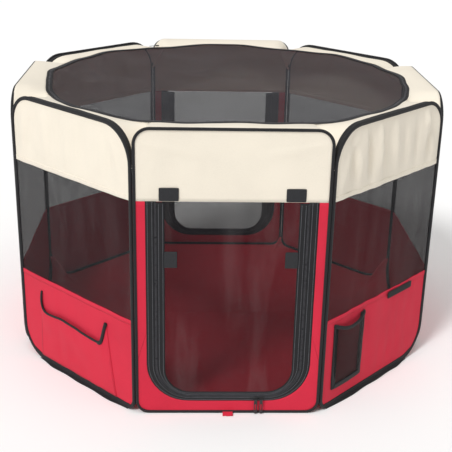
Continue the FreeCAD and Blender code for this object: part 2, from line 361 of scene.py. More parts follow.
def beads(name, path, up, step, size, material, k=0, closed=False):
    """Small tapered blocks along a path: stitches or zip teeth. size = (along, across, tall)."""
    verts, faces = [], []
    for p, t in resample(path, step, closed):
        side = t.cross(up).normalized()
        n = side.cross(t)
        a, w, h = size[0] / 2, size[1] / 2, size[2]
        base = len(verts)
        for z, f in ((0, 1.0), (h, 0.62)):
            for da, dw in ((-a, -w), (a, -w), (a, w), (-a, w)):
                verts.append(p + t * da * f + side * dw * f + n * z)
        faces += box_faces(base)
    return add_mesh(name, verts, faces, material, k=k, smooth=False)


def sew(name, line, body, material, k=0, up=OUT, step=0.0042, size=STITCH, closed=False):
    """A row of stitches or teeth, put on its body."""
    return finish(beads(name, line, up, step, size, material, k, closed), body)


def tube(name, path, radius, material, normal, k=0, closed=True, around=12, flat=1.0, wobble=0.0):
    """Round bead swept along a planar path; flat < 1 squeezes it along the plane's normal."""
    n = Vector(normal)
    verts, uvs, faces = [], [], []
    count = len(path)
    run = 0.0
    for i, p in enumerate(path):
        before = path[i - 1] if closed or i else p
        after = path[(i + 1) % count] if closed or i + 1 < count else p
        t = (after - before).normalized()
        side = t.cross(n).normalized()
        run += (p - path[i - 1]).length if i else 0
        r = radius * (1 + wobble * noise.noise(p * 60))
        for j in range(around):
            a = 2 * pi * j / around
            verts.append(p + side * r * cos(a) + n * r * flat * sin(a))
            uvs.append((j / around * 2 * pi * radius, run))
    for i in range(count if closed else count - 1):
        a, b = i * around, ((i + 1) % count) * around
        faces += [(a + j, b + j, b + (j + 1) % around, a + (j + 1) % around) for j in range(around)]
    if not closed:
        faces += [tuple(range(around)), tuple((count - 1) * around + j for j in reversed(range(around)))]
    return add_mesh(name, verts, faces, material, uvs, k)


def arc_points(cx, cz, r, start, end, y, count=10):
    return [Vector((cx + r * cos(a), y, cz + r * sin(a)))
            for a in (radians(start + (end - start) * i / count) for i in range(count + 1))]


def panel_corners(k, inset, y):
    """Four corner arcs of a line inset from the middle of panel k's binding."""
    r = [q - inset for q in radii(k)]
    x, lo, hi = POST_X - inset, RAIL_LOW + inset, RAIL_TOP - inset
    return [arc_points(-x + r[0], lo + r[0], r[0], 180, 270, y), arc_points(x - r[1], lo + r[1], r[1], 270, 360, y),
            arc_points(x - r[2], hi - r[2], r[2], 0, 90, y), arc_points(-x + r[3], hi - r[3], r[3], 90, 180, y)]


def panel_loop(k, inset=0.0, y=-APOTHEM):
    """Closed line round panel k."""
    return fill_in(sum(panel_corners(k, inset, y), []), 0.012, closed=True)


def fill_in(path, spacing, closed=False):
    """Add points to the long runs of a polyline."""
    out = []
    for i, p in enumerate(path):
        out.append(p)
        if i + 1 < len(path) or closed:
            q = path[(i + 1) % len(path)]
            steps = int((q - p).length / spacing)
            out += [p.lerp(q, j / (steps + 1)) for j in range(1, steps + 1)]
    return out


def u_line(half, bottom, r, top, y=-APOTHEM):
    """Open U line with the same number of points whatever its size: 40 up each side, 29 along the foot."""
    left = [Vector((-half, y, top + (bottom + r - top) * i / 40)) for i in range(40)]
    right = [Vector((-p.x, y, p.z)) for p in reversed(left)]
    foot = [Vector((-half + r + (2 * half - 2 * r) * i / 30, y, bottom)) for i in range(1, 30)]
    return (left + arc_points(-half + r, bottom + r, r, 180, 270, y) + foot
            + arc_points(half - r, bottom + r, r, 270, 360, y) + right)


def edge_at(z, k):
    """x of the binding's middle at height z: (start side, end side)."""
    r = radii(k)

    def pulled(low_r, top_r):
        for rr, d in ((low_r, RAIL_LOW + low_r - z), (top_r, z - RAIL_TOP + top_r)):
            if d > 0:
                return POST_X - (rr - sqrt(max(rr * rr - d * d, 0)))
        return POST_X
    return -pulled(r[0], r[3]), pulled(r[1], r[2])


def smooth(t):
    t = max(0.0, min(1.0, t))
    return t * t * (3 - 2 * t)


# How each panel's cloth hangs: (folds' height, folds' spacing, belly) in metres. Belly is outward.
HANG = {"front": (0.0007, 0.090, 0.0015), "front_right": (0.0085, 0.058, 0.002), "right": (0.003, 0.07, 0.003),
        "back_right": (0.0016, 0.08, 0.002), "back": (0.0008, 0.09, 0.001), "back_left": (0.0016, 0.075, 0.002),
        "left": (0.004, 0.065, 0.003), "front_left": (0.0030, 0.085, 0.003)}


def stray(x, y, z):
    """Smooth noise, always the same at the same place."""
    return noise.noise(Vector((x, y, z)))


def hang(k, x, z):
    """Outward displacement of panel k's cloth: soft upright folds, broad belly and small creases."""
    height, spacing, belly = HANG[SIDES[k]]
    start, end = edge_at(z, k)
    inside = min(x - start, end - x, RAIL_TOP - z, z - RAIL_LOW)
    hold = smooth(inside / 0.045)
    lean = 0.25 * (RAIL_TOP - z)
    seed = Vector((k * 7.3, 0, 0))
    drift = stray(x * 6, k * 3.1, z * 3)
    shift = lean * (0.3 + drift) + 0.018 * stray(x * 11, k * 5.7, 1.5)
    phase = 2 * pi * (x + shift) / spacing + k
    folds = sin(phase) + 0.35 * sin(2.3 * phase + z * 20)
    folds *= 0.7 + 0.6 * stray(x * 8, k * 9.1, z * 2)
    upper = smooth((z - BAND_Z) / 0.07) * (1 - smooth((z - RAIL_TOP + 0.09) / 0.09) * 0.5)
    rough = sum(noise.noise(Vector((x * across, 0, z * up)) + seed) * size
                for across, up, size in ((14, 9, 0.6), (40, 30, 0.2)))
    corner = sum(exp(-(((sx * x - 0.128) + (z - RAIL_TOP + 0.03) * 0.42) / 0.009) ** 2) for sx in (-1, 1))
    crease = 0.0
    if SIDES[k] in DOOR_SIDES:
        hold *= smooth((z - BAND_Z) / 0.03)
        line = RAIL_TOP - 0.030 - 0.22 * (0.158 - abs(x))
        crease = 0.0016 * exp(-((z - line) / 0.0055) ** 2) * smooth((abs(x) - 0.02) / 0.07)
    return hold * (belly * 0.6 + folds * height * (0.12 + 0.88 * upper) + rough * (0.3 * height + 0.0012)
                   + corner * 0.7 * height * smooth((z - BAND_Z) / 0.03) + crease)


def on_cloth(k, x, z, out=0.0):
    """Point on the hanging cloth of panel k, or out in front of it."""
    return Vector((x, -APOTHEM - hang(k, x, z) - out, z))


def row_heights(k, z0, z1):
    """Heights of a panel's rows, closer together where the corners turn."""
    r = radii(k)
    marks = {z0, z1}
    for rr in set(r[2:]):
        marks |= {RAIL_TOP - rr + rr * sin(radians(a)) for a in range(0, 91, 9)}
    for rr in set(r[:2]):
        marks |= {RAIL_LOW + rr - rr * sin(radians(a)) for a in range(0, 91, 9)}
    count = max(int((z1 - z0) / 0.008), 1)
    marks |= {z0 + (z1 - z0) * i / count for i in range(count + 1)}
    out = []
    for z in sorted(q for q in marks if z0 <= q <= z1):
        if not out or z - out[-1] > 0.0006:
            out.append(z)
    out[-1] = z1
    return out


def panel_sheet(name, k, z0, z1, material):
    """Cloth of panel k between two heights, out to the middle of the binding, and its flat size."""
    zs = row_heights(k, z0, z1)
    ends = [edge_at(z, k) for z in zs]

    def point(j, i):
        a, b = ends[j]
        x = a + (b - a) * i / PANEL_COLUMNS
        return on_cloth(k, x, zs[j]), (x, zs[j])
    flat = sum(((b - a) + (d - c)) / 2 * (zh - zl) for zl, zh, (a, b), (c, d) in zip(zs, zs[1:], ends, ends[1:]))
    return grid(name, len(zs) - 1, PANEL_COLUMNS, point, material, k), (2 * POST_X, z1 - z0, flat)


def strip(name, lines, material, k, thickness, shape=None, columns=4):
    """Cloth strip between two lines that have matching points; shape lifts it outward."""
    outer, inner = lines
    runs = [0.0]
    for p, q in zip(outer, outer[1:]):
        runs.append(runs[-1] + (q - p).length)

    def point(j, i):
        p, q = outer[j], inner[j]
        s = p.lerp(q, i / columns)
        out = shape(k, s.x, s.z, runs[j], i / columns) if shape else 0
        return (s.x, s.y - out, s.z), (runs[j], (q - p).length * i / columns)
    return thicken(grid(name, len(outer) - 1, columns, point, material, k), thickness)


# ---- the eight panels ----
def build_binding(k, body):
    side = SIDES[k]
    ob = tube(side + "_binding_tape", panel_loop(k), TUBE * 0.97, TAPE, OUT, k, around=14, wobble=0.05)
    finish(ob, body, [side + "_edge_binding"])
    for face, lift in (("out", -1), ("in", 1)):
        line = panel_loop(k, inset=TUBE * 0.55, y=-APOTHEM + lift * TUBE * 0.80)
        sew(f"{side}_binding_stitches_{face}", line, body, THREAD, k, Vector((0, lift, 0)), 0.0048,
            closed=True)


def build_binding_lip(k, body):
    """Turned edge of the binding, lying on the cloth just inside the round bead."""
    lines = []
    for inset in (TUBE * 0.4, TUBE + 0.0016):
        corners, path = panel_corners(k, inset, 0), []
        for i, arc in enumerate(corners):
            after = corners[(i + 1) % 4][0]
            path += arc + [arc[-1].lerp(after, j / 30) for j in range(1, 30)]
        path.append(path[0].copy())
        lines.append([on_cloth(k, p.x, p.z, 0.0008 + 0.0005 * (inset < TUBE)) for p in path])
    finish(strip(SIDES[k] + "_binding_lip", lines, TAPE, k, 0.0010, columns=2), body)


def build_bands(k, body, count=3):
    """The first count of a panel's cloths, from the top down."""
    for label, z0, z1, material, slot, node in (
            ("_upper_cloth", BAND_Z, RAIL_TOP, CREAM, "cream", "_upper_band"),
            ("_window_net", BASE_Z, BAND_Z, NET, "netting", "_mesh_window"),
            ("_base_cloth", RAIL_LOW, BASE_Z, RED, "red", "_base_band"))[:count]:
        ob, flat = panel_sheet(SIDES[k] + label, k, z0, z1, material)
        if material is not NET:
            thicken(ob, WOVEN)
        finish(ob, body, [SIDES[k] + node])


def build_side_panel(k):
    body = SIDES[k] + "_panel"
    build_binding(k, body)
    build_binding_lip(k, body)
    build_bands(k, body)
    seam_hems(k, body)
    foot_tape(k, body)


def foot_tape(k, body):
    """Black tape over the seam of wall and floor: up the face of the cloth and out along the ground."""
    side, r = SIDES[k], radii(k)
    r0, r1, wide = r[0], r[1], 0.0062
    lines = []
    for inset in (TUBE * 0.3, TUBE + wide):
        x, lo = POST_X - inset, RAIL_LOW + inset
        path = arc_points(-POST_X + r0, RAIL_LOW + r0, r0 - inset, 215, 270, 0, 8)
        path += [Vector((-POST_X + r0 + (2 * POST_X - r0 - r1) * i / 24, 0, lo)) for i in range(1, 24)]
        path += arc_points(POST_X - r1, RAIL_LOW + r1, r1 - inset, 270, 325, 0, 8)
        lines.append([on_cloth(k, p.x, p.z, 0.0009 + 0.0006 * (inset < TUBE)) for p in path])
    last = len(lines[0]) - 1
    lines[1] = [p.lerp(q, smooth(min(i, last - i) / 5)) for i, (p, q) in enumerate(zip(*lines))]
    finish(strip(side + "_foot_tape", lines, TAPE, k, 0.0012), body)
    xs = [-POST_X + r0 * 0.75 + (2 * POST_X - 0.75 * (r0 + r1)) * i / 40 for i in range(41)]
    near = [Vector((x, -APOTHEM - TUBE * 0.75, 0.0022)) for x in xs]
    far = [Vector((x, -APOTHEM - TUBE - smooth(min(x - xs[0], xs[-1] - x) / 0.06 + 0.1)
                   * (0.0058 + 0.0009 * sin(x * 70 + k)), 0.0009)) for x in xs]
    lip = strip(side + "_foot_lip", (near, far), TAPE, k, 0.0014)
    gather(finish(lip, body))


def seam_hems(k, body):
    """Folded hems with a row of stitches where the woven bands meet the netting."""
    side = SIDES[k]
    for label, z, toward, material, thread, slot in (
            ("upper", BAND_Z, 1, CREAM, CREAM_THREAD, "cream"), ("base", BASE_Z, -1, RED, RED_THREAD, "red")):
        a, b = edge_at(z, k)
        xs = [a + (b - a) * i / 60 for i in range(61)]
        lines = [[on_cloth(k, x, z + toward * h) for x in xs] for h in (-0.0008, 0.0095)]
        hem = strip(f"{side}_{label}_hem", lines, material, k, 0.0024)
        finish(hem, body)
        line = [on_cloth(k, x, z + toward * 0.008, 0.0012) for x in xs[1:-1]]
        sew(f"{side}_{label}_hem_stitches", line, body, thread, k, size=FINE_STITCH)


# ---- door panels ----
def zip_ripple(k, x, z, run, across):
    return 0.0002 * sin(run * 95 + across * 2) * sin(run * 23)


def surround_shape(k, x, z, run, across):
    return 0.8 * hang(k, x, z) * smooth((1 - across) / 0.4)


def door_belly(k, x, z):
    wide = 1 - (x / CLEAR_X) ** 2
    tall = smooth((z - CLEAR_Z) / 0.08) * smooth((DOOR_TOP - z) / 0.05)
    pull = stray(x * 9 + z * 5, k, z * 5 - x * 4) * 0.0035
    return max(wide, 0) * tall * (0.003 + pull) if wide > 0 else 0.0


def build_door_panel(k):
    side = SIDES[k]
    body, door = side + "_panel", side + "_door"
    build_binding(k, body)
    build_bands(k, body, 1)
    build_surround(k, body)
    for label, rides, node, outer, inner, top in (
            ("track", body, "zip_track", (TRACK_X + 0.001, TRACK_Z - 0.001, TRACK_R),
             (EDGE_X + 0.0001, EDGE_Z - 0.0001, EDGE_R), BAND_Z),
            ("edging", door, "door_edging", (EDGE_X - 0.0001, EDGE_Z + 0.0001, EDGE_R),
             (CLEAR_X - 0.001, CLEAR_Z + 0.001, CLEAR_R), DOOR_TOP - 0.0012)):
        lines = (u_line(*outer, top), u_line(*inner, top))
        tape = strip(f"{side}_{label}_tape", lines, ZIP_TAPE, k, ZIP_THICK, zip_ripple)
        finish(tape, rides, [f"{side}_{node}"])
    for label, rides, off, top in (("fixed", body, 0.0010, BAND_Z), ("door", door, -0.0010, DOOR_TOP - 0.003)):
        line = u_line(EDGE_X + off, EDGE_Z - off, EDGE_R, top, y=-APOTHEM - 0.0004)
        sew(f"{side}_zip_teeth_{label}", line, rides, TEETH, k, step=0.0022, size=(0.0013, 0.0026, 0.0013))
    for label, rides, (half, zb, r), top in (
            ("track_outer", body, (TRACK_X - 0.003, TRACK_Z + 0.002, TRACK_R - 0.003), BAND_Z),
            ("track_inner", body, (EDGE_X + 0.0065, EDGE_Z - 0.0034, EDGE_R + 0.003), BAND_Z),
            ("edging_outer", door, (EDGE_X - 0.0060, EDGE_Z + 0.0034, EDGE_R - 0.005), DOOR_TOP - 0.005),
            ("edging_inner", door, (CLEAR_X + 0.0025, CLEAR_Z - 0.002, CLEAR_R + 0.002), DOOR_TOP - 0.005)):
        line = u_line(half, zb, r, top, y=-APOTHEM - 0.0010)
        sew(f"{side}_{label}_stitches", line, rides, ZIP_THREAD, k, size=(0.0034, 0.0010, 0.0006))
    build_door_net(k, door)
    build_pull_tag(k, body)
    build_tabs(k, body, door)


def build_surround(k, body):
    """Red cloth round the zip in three cuts: an upright each side and the run under the door."""
    side = SIDES[k]
    outer, inner = u_line(POST_X, RAIL_LOW, LOW_DOOR, BAND_Z), u_line(TRACK_X, TRACK_Z, TRACK_R, BAND_Z)
    cut = 32
    last = len(outer) - 1
    for label, i, j in (("left", 0, cut), ("low", cut, last - cut), ("right", last - cut, last)):
        ob = strip(f"{side}_surround_{label}", (outer[i:j + 1], inner[i:j + 1]), RED, k, WOVEN, surround_shape, 8)
        finish(ob, body, [side + "_surround"])


def build_door_net(k, door):
    """The netting of a zipped door, inside its edging."""
    side = SIDES[k]
    zs = [CLEAR_Z + (CLEAR_R - CLEAR_R * cos(radians(a))) for a in range(0, 90, 9)]
    zs += [CLEAR_Z + CLEAR_R + (DOOR_TOP - CLEAR_Z - CLEAR_R) * i / 44 for i in range(45)]

    def point(j, i):
        z = zs[j]
        d = max(CLEAR_Z + CLEAR_R - z, 0)
        half = CLEAR_X - (CLEAR_R - sqrt(max(CLEAR_R ** 2 - d * d, 0)))
        x = -half + 2 * half * i / 44
        return (x, -APOTHEM - door_belly(k, x, z), z), (x, z)
    net = grid(side + "_door_net", len(zs) - 1, 44, point, DOOR_NET, k)
    finish(net, door, [side + "_door_mesh"])


def build_pull_tag(k, body):
    """Small folded red tag sewn in under the door."""
    rows, cols, width, length = 10, 8, 0.021, 0.0125

    def point(j, i):
        t, x = j / rows, -width / 2 + width * i / cols
        z = 0.0027 + 0.0010 * (1 - smooth(t * 2.2)) + 0.0012 * sin(t * 5) * t
        return (x, -APOTHEM - TUBE * 0.7 - t * length, z + 0.0006 * sin(i * 1.1) * t), (x, t * length)
    finish(thicken(grid(SIDES[k] + "_pull_tag", rows, cols, point, RED, k), 0.0012), body)


def rounded_pad(name, x0, x1, z0, z1, y, thick, material, k, n=16):
    """Flat sewn-on patch with turned edges, raised a little in the middle."""
    bulge, corner = 0.0004, 0.0005

    def point(i, j):
        u, v = i / n * 2 - 1, j / n * 2 - 1
        edge = max(abs(u), abs(v)) ** 6
        pull = corner * (abs(u) * abs(v)) ** 8
        x = (x0 + x1) / 2 + u * ((x1 - x0) / 2 - pull)
        z = (z0 + z1) / 2 + v * ((z1 - z0) / 2 - pull)
        fuzz = 0.00015 * stray(x * 300, k, z * 300)
        return (x, y - thick * (1 - 0.5 * edge) - bulge * (1 - edge) - fuzz, z), (x, z)
    return thicken(grid(name, n, n, point, material, k, flip=True), thick, 1.0)


def box_stitches(name, x0, x1, z0, z1, y, k, body):
    """Row of stitches just inside a patch's edge."""
    i = 0.0022
    path = [Vector((x, y, z)) for x, z in ((x0 + i, z0 + i), (x1 - i, z0 + i), (x1 - i, z1 - i), (x0 + i, z1 - i))]
    sew(name, fill_in(path, 0.01, True), body, THREAD, k, OUT, 0.0038, (0.0026, 0.0006, 0.0005), True)


def build_tabs(k, body, door):
    """Tie-back tabs on the upper band and the patches they meet on the door's netting."""
    side = SIDES[k]
    lo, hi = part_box("front_hook_tabs")
    plo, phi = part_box("front_door_patches")
    tab_w, patch_w, y_tab = 0.0375, 0.025, -APOTHEM - FACE - 0.0004
    for s, name in ((-1, "left"), (1, "right")):
        mid = s * (hi.x - tab_w / 2)
        tab = rounded_pad(f"{side}_tab_{name}", mid - tab_w / 2, mid + tab_w / 2, lo.z, hi.z, y_tab, 0.0010, PILE, k)
        finish(tab, body, ["front_hook_tabs"] if side == "front" else ())
        box_stitches(f"{side}_tab_{name}_stitches", mid - tab_w / 2, mid + tab_w / 2, lo.z, hi.z, y_tab - 0.0009, k,
                     body)
        mid = s * (phi.x - patch_w / 2)
        y = -APOTHEM - 0.0012 - door_belly(k, mid, plo.z)
        patch = rounded_pad(f"{side}_patch_{name}", mid - patch_w / 2, mid + patch_w / 2, plo.z, phi.z, y, 0.0009,
                            PILE, k)
        finish(patch, door, ["front_door_patches"] if side == "front" else ())


# ---- zip sliders and pulls ----
def bevelled(name, boxes, k, bevel):
    """Boxes given as (x0, x1, y0, y1, z0, z1), joined in one enamelled mesh with softened edges."""
    verts, faces = [], []
    for x0, x1, y0, y1, z0, z1 in boxes:
        faces += box_faces(len(verts))
        verts += [(x, y, z) for z in (z0, z1) for x, y in ((x0, y0), (x1, y0), (x1, y1), (x0, y1))]
    return soften(add_mesh(name, verts, faces, ENAMEL, k=k, smooth=False), bevel, 3)


def pull_tab(name, x, y, z_top, z_low, width, thick, k):
    """Flat pull with a rounded foot and a long slot: a ring of faces between its outline and the slot's."""
    half, slot = width / 2, 0.45
    foot = [(x - half * cos(radians(a)), z_low + half - half * sin(radians(a)))
            for a in range(15, 180, 15)]
    outline = [(x - half * 0.7, z_top), (x - half, z_top - 0.006), (x - half, z_low + half)] + foot
    outline += [(x + half, z_low + half), (x + half, z_top - 0.006), (x + half * 0.7, z_top)]
    top, low = z_top - 0.010, z_low + 0.009
    hole = [(x - half * slot, top), (x - half * slot, low)]
    hole += [(x + (px - x) * slot, low + (pz - z_low - half) * slot) for px, pz in foot]
    hole += [(x + half * slot, low), (x + half * slot, top)]
    m, h = len(outline), len(hole)
    faces = []
    for i in range(m - 2):
        j = min(i, h - 1)
        faces.append((i + 1, i + 2, m + j + 1, m + j) if j < h - 1 else (i + 1, i + 2, m + j))
    faces += [(0, 1, m), (m - 1, 0, m), (m - 1, m, m + h - 1)]
    ob = add_mesh(name, [(px, y, pz) for px, pz in outline + hole], faces, ENAMEL, k=k, smooth=False)
    return soften(thicken(ob, thick), 0.0002, 2)


def build_slider(name, k, lo, hi, body, pull_body, replaces, pull_replaces):
    """Slider of two plates, its ears and pin, and the pull that hangs on the pin. lo and hi: its CAD box."""
    mid, back, pin_y, pin_z = (lo.x + hi.x) / 2, hi.y, lo.y + 0.0010, 0.034
    face, zb, zt, w = hi.y - 0.0032, 0.0306, EDGE_Z - 0.0008, 0.0045
    boxes = [(mid - w, mid + w, back - 0.0012, back, zb, zt),
             (mid - w * 0.88, mid + w * 0.88, face, face + 0.0014, zb + 0.0005, zt - 0.0005),
             (mid - 0.0014, mid + 0.0014, face + 0.0004, back - 0.0002, zb + 0.001, zt - 0.0008),
             (mid - 0.0046, mid + 0.0046, pin_y - 0.0006, pin_y + 0.0006, pin_z - 0.0006, pin_z + 0.0006)]
    boxes += [(mid + s * 0.0042 - 0.0004, mid + s * 0.0042 + 0.0004, pin_y - 0.0010, face + 0.0006,
               pin_z - 0.0010, pin_z + 0.0010) for s in (-1, 1)]
    finish(bevelled(name, boxes, k, 0.00035), body, replaces)
    pull_name = name.replace("slider", "pull")
    tab = pull_tab(pull_name, mid, pin_y, pin_z, 0.0018, 0.0066, 0.0009, k)
    finish(tab, pull_body, pull_replaces)
    eye = tube(pull_name + "_eye", [Vector((mid + x, pin_y, pin_z)) for x in (-0.0033, -0.003, 0.003, 0.0033)],
               0.0015, ENAMEL, OUT, k, closed=False)
    finish(eye, pull_body)


# ---- pockets and hook strip ----
def bend_through(points):
    """Smooth curve through (x, z) points: a function of the share of its length, 0 to 1."""
    pts = [points[0]] + list(points) + [points[-1]]
    out = []
    for p0, p1, p2, p3 in zip(pts, pts[1:], pts[2:], pts[3:]):
        for i in range(8):
            t = i / 8
            out.append(Vector([0.5 * (2 * b + (c - a) * t + (2 * a - 5 * b + 4 * c - d) * t * t
                                      + (3 * b - a - 3 * c + d) * t ** 3)
                               for a, b, c, d in zip(p0, p1, p2, p3)]))
    out.append(Vector(points[-1]))
    runs = [0.0]
    for p, q in zip(out, out[1:]):
        runs.append(runs[-1] + (q - p).length)

    def at(s):
        want, i = s * runs[-1], 0
        while i < len(out) - 2 and runs[i + 1] < want:
            i += 1
        return out[i].lerp(out[i + 1], (want - runs[i]) / (runs[i + 1] - runs[i]))
    return at


def build_pocket():
    """Accessory pocket on the front-left base band: scooped opening with black piping."""
    k, body, name, low_z = 7, "front_left_panel", "front_left_pocket", 0.012
    rim = bend_through([(-0.1125, 0.176), (-0.1132, 0.160), (-0.1115, 0.146), (-0.1055, 0.135), (-0.0945, 0.130),
                        (-0.070, 0.131), (-0.0375, 0.134), (0.010, 0.131), (0.050, 0.127), (0.080, 0.1255),
                        (0.0905, 0.1275), (0.0955, 0.137), (0.100, 0.155), (0.1055, 0.176)])
    cols, rows = 60, 26

    def point(j, i):
        s, t = i / cols, j / rows
        (x_top, z_top), x_low, across = rim(s), -0.126 + 0.258 * s, sin(pi * s)
        x, z = x_low + (x_top - x_low) * t, low_z + (z_top - low_z) * t
        puff = 0.0060 * smooth(t * 1.3 - 0.3) * across ** 0.7 + 0.0022 * across * sin(pi * t)
        crease = 0.0012 * stray(x * 30, 5, z * 22) * across
        return on_cloth(k, x, z, 0.0012 + puff + crease), (x, z)
    ob = grid(name + "_cloth", rows, cols, point, RED, k)
    finish(thicken(ob, 0.0008), body, [name])
    edge = [point(rows, i)[0] for i in range(cols + 1)]
    lift = Vector((0, -0.0008, 0))
    piping = tube(name + "_piping", [p + lift for p in fill_in(edge, 0.004)], 0.0026, TAPE, OUT, k,
                  closed=False, around=10, flat=0.8, wobble=0.1)
    finish(piping, body)
    tail = [p + 2 * lift for p in edge[-13:]]
    end = tube(name + "_piping_end", tail, 0.0041, TAPE, OUT, k, closed=False, around=12, flat=0.7)
    finish(end, body)
    for label, i, inward in (("left", 0, 0.003), ("right", cols, -0.003)):
        line = [point(j, i)[0] + Vector((inward, -0.0006, 0)) for j in range(rows)]
        sew(f"{name}_seam_{label}", line, body, RED_THREAD, k, size=(0.0028, 0.0008, 0.0006))


def build_net_pocket():
    """Netting pocket on the front-right base band, bound in black tape, with a slack top edge."""
    k, body = 1, "front_right_panel"
    x0, x1, z0, z1 = -0.157, -0.053, 0.042, 0.190
    cols, rows = 26, 30

    def point(s, t):
        x = x0 + (x1 - x0) * s
        droop = 0.014 * sin(pi * s) * smooth((t - 0.6) / 0.4)
        z = z0 + (z1 - z0) * t - droop
        puff = sin(pi * s) ** 0.6 * (0.0035 + 0.0055 * t)
        return on_cloth(k, x, z, 0.0022 + puff)

    def corner(j, i):
        p = point(i / cols, j / rows)
        return p, (p.x, p.z)
    net = grid("front_right_pocket_net", rows, cols, corner, POCKET_NET, k)
    finish(net, body, ["front_right_net_pocket"])
    sides = [point(0, 1 - i / 20) for i in range(21)] + [point(i / 20, 0) for i in range(1, 21)]
    sides += [point(1, i / 20) for i in range(1, 21)]
    inner = []
    for p in sides:
        q = p.copy()
        ragged = 0.0014 * noise.noise(p * 45)
        q.x = max(min(q.x, x1 - 0.0135 - ragged), x0 + 0.0105 + ragged)
        q.z = max(q.z, z0 + 0.0115 + ragged)
        inner.append(q + Vector((0, -0.0012, 0)))
    tape = strip("front_right_pocket_tape", (sides, inner), TAPE, k, 0.0026)
    finish(tape, body)
    top = [point(i / 24, 1) for i in range(25)]
    hem = tube("front_right_pocket_elastic", top, 0.0042, TAPE, OUT, k, closed=False, around=10, flat=0.7, wobble=0.25)
    finish(hem, body)


def build_hook_strip():
    lo, hi = 0.029, 0.120
    z0, z1 = (corner.z + inset for corner, inset in zip(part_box("front_right_hook_strip"), (0.002, -0.002)))
    y = -APOTHEM - 0.0016 - hang(1, (lo + hi) / 2, z0)
    ob = rounded_pad("front_right_hook_strip_pile", lo, hi, z0, z1, y, 0.0012, DARK_PILE, 1, n=24)
    finish(ob, "front_right_panel", ["front_right_hook_strip"])
    box_stitches("front_right_hook_strip_stitches", lo, hi, z0, z1, y - 0.0013, 1, "front_right_panel")


# ---- top border, floor ----
def slack(a):
    """Share of the slack that lets the opening spread and sink towards the panels beside the front door."""
    near = max(cos(a + radians(135)), cos(a + radians(45)))
    return smooth((near - 0.78) / 0.22)


def wander(a):
    """How far the round opening's edge strays from its circle: the slack and a slight waviness."""
    return (0.0120 * slack(a) + 0.0018 * sin(3 * a + 0.7) + 0.0022 * sin(8 * a + 2.1)
            + 0.0014 * sin(17 * a) + 0.0007 * sin(31 * a + 1.0))


def ring_drop(a):
    """The opening's edge lies a little lower between the panels' corners than at the middles."""
    return (-0.0065 * slack(a) - 0.0036 * (1 - cos(8 * a)) / 2 + 0.0010 * sin(5 * a)
            + 0.0008 * sin(19 * a))


def ring_point(r, a, z=0.0):
    r += wander(a)
    return Vector((cos(a) * r, sin(a) * r, TOP_Z + ring_drop(a) + z))


# Where the top's cloth is sewn to the binding, in bead radii outward and up from its inner edge.
SEAM = {"back": (0.95, 1.15), "left": (0.0, 0.95), "right": (0.0, 0.95), "back_left": (-0.2, -0.9),
        "back_right": (-0.2, -0.9)}
BORDER_TAPE = {"front_left": 0.0110, "front_right": 0.0110, "back_left": 0.0150, "back_right": 0.0150}


def notch_line(k, top):
    """Line that joins panel k's binding to the cloth of the top (or floor), from vertex to vertex."""
    r = radii(k)
    own = (r[3], r[2]) if top else (r[0], r[1])
    before, after = radii((k - 1) % 8), radii((k + 1) % 8)
    other = (before[2], after[3]) if top else (before[1], after[0])
    rail, sgn = (RAIL_TOP, 1) if top else (RAIL_LOW, -1)
    y = -APOTHEM + TUBE * 0.45
    outward, up = SEAM.get(SIDES[k], (0, 0)) if top else (0, 0)
    over = Vector((0, -TUBE * outward, TUBE * up))
    halves = []
    for s, r, r_other in zip((-1, 1), own, other):
        deep = max(r, r_other)
        half = [Vector((s * SIDE / 2, -APOTHEM + 0.001, rail - sgn * (deep + 0.003)))]
        if deep - r > 0.004:
            half.append(Vector((s * (POST_X + 0.001), y, rail - sgn * deep)))
        start = 90 - 90 * s
        arc = arc_points(s * (POST_X - r), rail - sgn * r, r, start, start + s * sgn * 90, y, 12)
        halves.append(half + [p + over * smooth(i / 12) for i, p in enumerate(arc)])
    return fill_in(halves[0] + halves[1][::-1], 0.010)


def border_surface(k, p, t):
    """Point of panel k's share of the top's cloth: t goes from 0 at p on the binding to 1 at the round zip."""
    inner = turned(k).inverted() @ ring_point(RING_R - 0.001, atan2(p.y, p.x) + radians(45 * k))
    q = p.lerp(inner, t)
    swell = sin(pi * t)
    q.z += swell * (0.0021 - 0.06 * (RAIL_TOP - p.z) + 0.0012 * stray(q.x * 22, q.y * 22, k * 5))
    return q


def build_border_sector(k):
    side, line, rows = SIDES[k], notch_line(k, True), 12

    def point(j, i):
        q = border_surface(k, line[i], j / rows)
        return q, (q.x, q.y)
    ob = grid(side + "_border_cloth", rows, len(line) - 1, point, CREAM, k)
    thicken(ob, WOVEN)
    body = side + "_panel"
    gather(finish(ob, body, ["top_border"] if k == 0 else ()))
    if side in BORDER_TAPE:
        cols, wide, lift = 5, BORDER_TAPE[side], Vector((0, 0, 0.0011))

        def on_tape(j, i):
            p = line[j + 1]
            reach = wide / (p - border_surface(k, p, 1)).length
            return border_surface(k, p, reach * i / cols) + lift, (j * 0.010, wide * i / cols)
        tape = thicken(grid(side + "_border_tape", len(line) - 3, cols, on_tape, TAPE, k), 0.0012)
        gather(finish(tape, body))
    hem = [turned(k).inverted() @ ring_point(RING_R + 0.004, radians(45 * k - 112.5 + 45 * i / 40), 0.0008)
           for i in range(41)]
    gather(sew(side + "_border_stitches", hem, body, CREAM_THREAD, k, UP, 0.0044))


